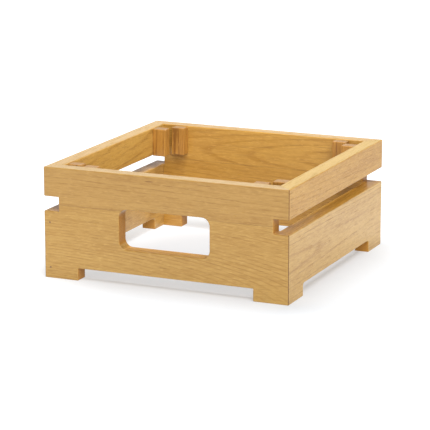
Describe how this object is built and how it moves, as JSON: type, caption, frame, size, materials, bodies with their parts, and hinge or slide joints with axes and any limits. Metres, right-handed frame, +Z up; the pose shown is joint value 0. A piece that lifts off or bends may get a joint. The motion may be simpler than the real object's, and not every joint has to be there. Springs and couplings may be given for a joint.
{
  "type": "umbrella stand base frame",
  "caption": "Low square open oak frame of two board rings with side slots, a hand hole and corner feet.",
  "frame": {"origin": "centre of the box's base, on the floor", "axes": "+X to the right along the front with the hand hole, +Y from front to back, +Z up"},
  "size_m": [0.33, 0.33, 0.1424],
  "materials": {
    "oak": "satin oiled oak",
    "oak_batten": "satin oiled oak, a little darker",
    "pin_steel": "dull, darkened by the oak"
  },
  "bodies": {
    "root": {"front_upper_stave": "oak", "front_lower_stave": "oak", "back_upper_stave": "oak", "back_lower_stave": "oak", "left_upper_rail": "oak", "left_lower_board": "oak", "right_upper_rail": "oak", "right_lower_board": "oak", "front_batten_left": "oak_batten", "front_batten_right": "oak_batten", "back_batten_left": "oak_batten", "back_batten_right": "oak_batten", "left_batten_front": "oak_batten", "left_batten_back": "oak_batten", "right_batten_front": "oak_batten", "right_batten_back": "oak_batten", "front_left_pins": "pin_steel", "front_right_pins": "pin_steel", "back_left_pins": "pin_steel", "back_right_pins": "pin_steel"}
  },
  "joints": []
}
